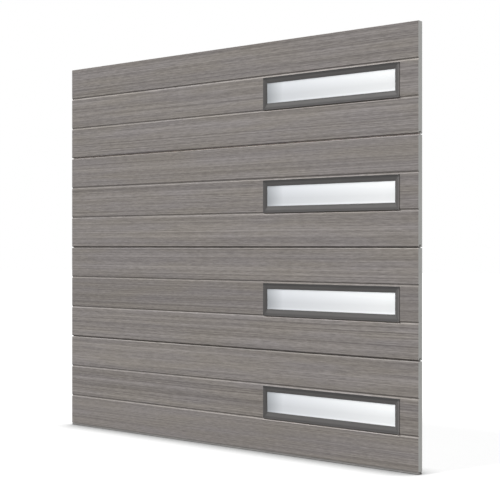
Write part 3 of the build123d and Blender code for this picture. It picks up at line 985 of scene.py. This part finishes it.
@dataclass
class HingeFixings:
    """What the solids leave out at the hinges of one joint: screws, ribs and pin ends."""

    joint: int
    lower_screw_drop: float = 0.046
    lower_screw_side: float = 0.0095
    upper_screw_rise: float = 0.054
    upper_screw_side: float = 0.0125
    rib_width: float = 0.007
    rib_length: float = 0.026
    rib_height: float = 0.0014
    rib_drop: float = 0.029
    rib_rise: float = 0.037

    def seats(self) -> list[tuple[float, float]]:
        """Place (x, y) of each hinge: its middle, and the face of its plates."""
        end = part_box(f"hinge_{self.joint}_upper_leaves")[1].x - HINGE_WIDTH / 2
        at_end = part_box(f"section_{self.joint}_end_caps")[1].y + SHEET
        at_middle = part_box(f"section_{self.joint}_back_skin")[1].y + SHEET
        return [(-end, at_end), (0.0, at_middle), (end, at_end)]

    def build(self, finishes: Finishes, fixings: Fixings) -> list[Piece]:
        """The fixings' pieces."""
        _, pin_y, pin_z = frame["joints"][self.joint - 1]["pos_m"]
        lower, upper = f"section_{self.joint}", f"section_{self.joint + 1}"
        name = f"hinge_{self.joint}"
        seats = self.seats()
        screw = fixings.hex_screw()
        rib = pressed_rib(self.rib_width, self.rib_length, self.rib_height)

        def spread(side: float, height: float) -> Array:
            """Places at both sides of every hinge, at one height."""
            return np.array([(x + s * side, y, height) for x, y in seats for s in (-1, 1)])

        def middles(height: float) -> Array:
            """Places in the middle of every hinge, at one height."""
            return np.array([(x, y, height) for x, y in seats])

        low_screws = screw.repeated(spread(self.lower_screw_side, pin_z - self.lower_screw_drop))
        high_screws = screw.repeated(spread(self.upper_screw_side, pin_z + self.upper_screw_rise))
        low_ribs = rib.repeated(middles(pin_z - self.rib_drop))
        high_ribs = rib.repeated(middles(pin_z + self.rib_rise))
        ends = []
        for side in (-1, 1):
            turn = np.array([[0.0, side, 0.0], [-side, 0.0, 0.0], [0.0, 0.0, 1.0]])
            places = [(x + side * HINGE_WIDTH / 2, pin_y, pin_z) for x, _ in seats]
            ends.append(fixings.rivet().repeated(np.array(places), turn))
        steel = finishes.by_slot["galvanised"]
        return [
            Piece(f"{name}_lower_screws", low_screws, lower, "spacer_metal", finishes.zinc),
            Piece(f"{name}_upper_screws", high_screws, upper, "spacer_metal", finishes.zinc),
            Piece(f"{name}_lower_ribs", low_ribs, lower, "galvanised", steel),
            Piece(f"{name}_upper_ribs", high_ribs, upper, "galvanised", steel),
            Piece(f"{name}_pin_ends", joined(ends), upper, "galvanised", finishes.zinc),
        ]


@dataclass
class BracketFixings:
    """Screws in the plates of the corner brackets."""

    node: str
    body: str
    screw_side: float = 0.0125
    screw_inset: float = 0.014

    def build(self, finishes: Finishes, fixings: Fixings) -> list[Piece]:
        """The screws, two above and two below in each bracket."""
        low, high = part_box(self.node)
        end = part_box("hinge_1_upper_leaves")[1].x - HINGE_WIDTH / 2
        face = low.y + SHEET
        rows = [
            (side * end + shift * self.screw_side, face, z)
            for side in (-1, 1)
            for shift in (-1, 1)
            for z in (low.z + self.screw_inset, high.z - self.screw_inset)
        ]
        form = fixings.hex_screw().repeated(np.array(rows))
        return [Piece(f"{self.node}_screws", form, self.body, "spacer_metal", finishes.zinc)]


@dataclass
class CapRivets:
    """Rivets that hold the end caps' flanges to the back skin of one section."""

    section: int
    inset: float = 0.077
    count: int = 4
    margin: float = 0.15

    def build(self, finishes: Finishes, fixings: Fixings) -> list[Piece]:
        """The rivets at both ends of the section."""
        low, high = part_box(f"section_{self.section}_end_caps")
        base = (self.section - 1) * SECTION_PITCH
        heights = base + np.linspace(self.margin, SECTION_PITCH - self.margin, self.count)
        rows = [
            (side * (high.x - self.inset), high.y, z) for side in (-1, 1) for z in heights
        ]
        form = fixings.rivet().repeated(np.array(rows))
        name = f"section_{self.section}_cap_rivets"
        paint = finishes.by_slot["cap_paint"]
        return [Piece(name, form, f"section_{self.section}", "cap_paint", paint)]


@dataclass(frozen=True)
class Lamp:
    """A broad distant lamp: its direction from the door, strength and spread in degrees."""

    light: Light
    source: tuple[float, float, float]
    power: float
    spread: float

    def hang(self) -> None:
        """Put the lamp into the scene."""
        lamp = bpy.data.lights.new(self.light.value, "SUN")
        lamp.energy = self.power
        lamp.angle = math.radians(self.spread)
        holder = bpy.data.objects.new(self.light.value, lamp)
        holder.rotation_euler = Vector(self.source).to_track_quat("Z", "Y").to_euler()
        bpy.context.scene.collection.objects.link(holder)


@dataclass
class Studio:
    """Camera, floor, lamps and the white surroundings."""

    camera_place: tuple[float, float, float] = (4.5094, -5.2959, 1.2258)
    camera_turn: float = 39.184
    lens: float = 81.636
    shift: float = -0.00744
    floor_reach: float = 40.0
    floor_drop: float = 0.0003
    ambient: float = 0.35
    contact: float = 0.17
    contact_samples: int = 8
    shadow_glow: float = 0.10
    open_glow: float = 0.74
    floor_tone: float = 0.12
    floor_grain: float = 0.01
    seen_tone: float = 0.13
    lamps: tuple[Lamp, ...] = (
        Lamp(Light.FRONT, (-0.28, -0.58, 0.76), 3.7, 14),
        Lamp(Light.BACK, (0.52, 0.60, 0.61), 2.9, 24),
    )

    def build(self) -> None:
        """Set the studio up."""
        self.set_camera()
        self.lay_floor()
        for lamp in self.lamps:
            lamp.hang()
        self.surround()

    def set_camera(self) -> None:
        """Camera at the photograph's viewing angle."""
        lens = bpy.data.cameras.new("camera")
        lens.lens = self.lens
        lens.shift_y = self.shift
        lens.clip_end = 200.0
        camera = bpy.data.objects.new("camera", lens)
        camera.location = self.camera_place
        camera.rotation_euler = (math.pi / 2, 0.0, math.radians(self.camera_turn))
        bpy.context.scene.collection.objects.link(camera)
        bpy.context.scene.camera = camera

    def lay_floor(self) -> None:
        """Pale floor: white to the camera, but for the door's shadow on it."""
        reach, level = self.floor_reach, -self.floor_drop
        mesh = bpy.data.meshes.new("floor")
        signs = ((-1, -1), (1, -1), (1, 1), (-1, 1))
        corners = [(reach * x, reach * y, level) for x, y in signs]
        mesh.from_pydata(corners, [], [(0, 1, 2, 3)])
        sketch = Sketch("floor")
        tree = sketch.tree
        rays = sketch.add("ShaderNodeLightPath").outputs
        seen = sketch.math("MAXIMUM", rays["Is Camera Ray"], rays["Is Glossy Ray"])
        seen = sketch.math("MAXIMUM", seen, rays["Is Transmission Ray"])
        shade = sketch.add("ShaderNodeAmbientOcclusion")
        shade.inputs["Distance"].default_value = self.contact
        shade.samples = self.contact_samples
        grain = sketch.noise(sketch.place, 3, 3, 0.5)
        glow = sketch.add("ShaderNodeEmission")
        near = sketch.spread(shade.outputs["AO"], 0.5, 1.0, self.shadow_glow, self.open_glow)
        sketch.link(sketch.math("MULTIPLY", near, seen), glow.inputs["Strength"])
        matt = sketch.add("ShaderNodeBsdfDiffuse")
        grey = sketch.math("MULTIPLY_ADD", grain, self.floor_grain, self.floor_tone)
        grey = sketch.math("MULTIPLY_ADD", seen, self.seen_tone, grey)
        sketch.link(sketch.vector(grey, grey, grey), matt.inputs["Color"])
        total = sketch.add("ShaderNodeAddShader")
        sketch.link(matt.outputs[0], total.inputs[0])
        sketch.link(glow.outputs[0], total.inputs[1])
        output = next(node for node in tree.nodes if node.type == "OUTPUT_MATERIAL")
        sketch.link(total.outputs[0], output.inputs["Surface"])
        tree.nodes.remove(sketch.surface)
        mesh.materials.append(sketch.material)
        floor = bpy.data.objects.new("floor", mesh)
        bpy.context.scene.collection.objects.link(floor)

    def surround(self) -> None:
        """White to the camera, in gloss and through glass, and a soft grey light elsewhere."""
        scene = bpy.context.scene
        scene.world = bpy.data.worlds.new("studio")
        scene.world.use_nodes = True
        tree = scene.world.node_tree
        background = tree.nodes["Background"]
        background.inputs["Color"].default_value = (1.0, 1.0, 1.0, 1.0)
        rays = tree.nodes.new("ShaderNodeLightPath").outputs
        strength: Socket | None = None
        for name in ("Is Camera Ray", "Is Glossy Ray", "Is Transmission Ray"):
            node = tree.nodes.new("ShaderNodeMath")
            node.operation = "MAXIMUM"
            node.inputs[0].default_value = self.ambient
            tree.links.new(rays[name], node.inputs[1])
            if strength is not None:
                tree.links.new(strength, node.inputs[0])
            strength = node.outputs[0]
        tree.links.new(strength, background.inputs["Strength"])
        scene.view_settings.view_transform = "Standard"


def main() -> None:
    """Build the finishes, the trim, the fixings and the studio, in that order."""
    logging.basicConfig(level=logging.INFO, format="%(name)s %(message)s")
    finishes = Finishes()
    finishes.dress_solids()
    fixings = Fixings()
    assemblies: list[WindowTrim | HingeFixings | BracketFixings | CapRivets] = []
    for section in range(1, SECTIONS + 1):
        assemblies.append(WindowTrim(f"section_{section}"))
        assemblies.append(CapRivets(section))
    for joint in range(1, SECTIONS):
        assemblies.append(HingeFixings(joint))
    assemblies.append(BracketFixings("bottom_brackets", "section_1"))
    assemblies.append(BracketFixings("top_brackets", f"section_{SECTIONS}"))
    for assembly in assemblies:
        for piece in assembly.build(finishes, fixings):
            piece.make()
    Studio().build()


if __name__ == "__main__":
    main()
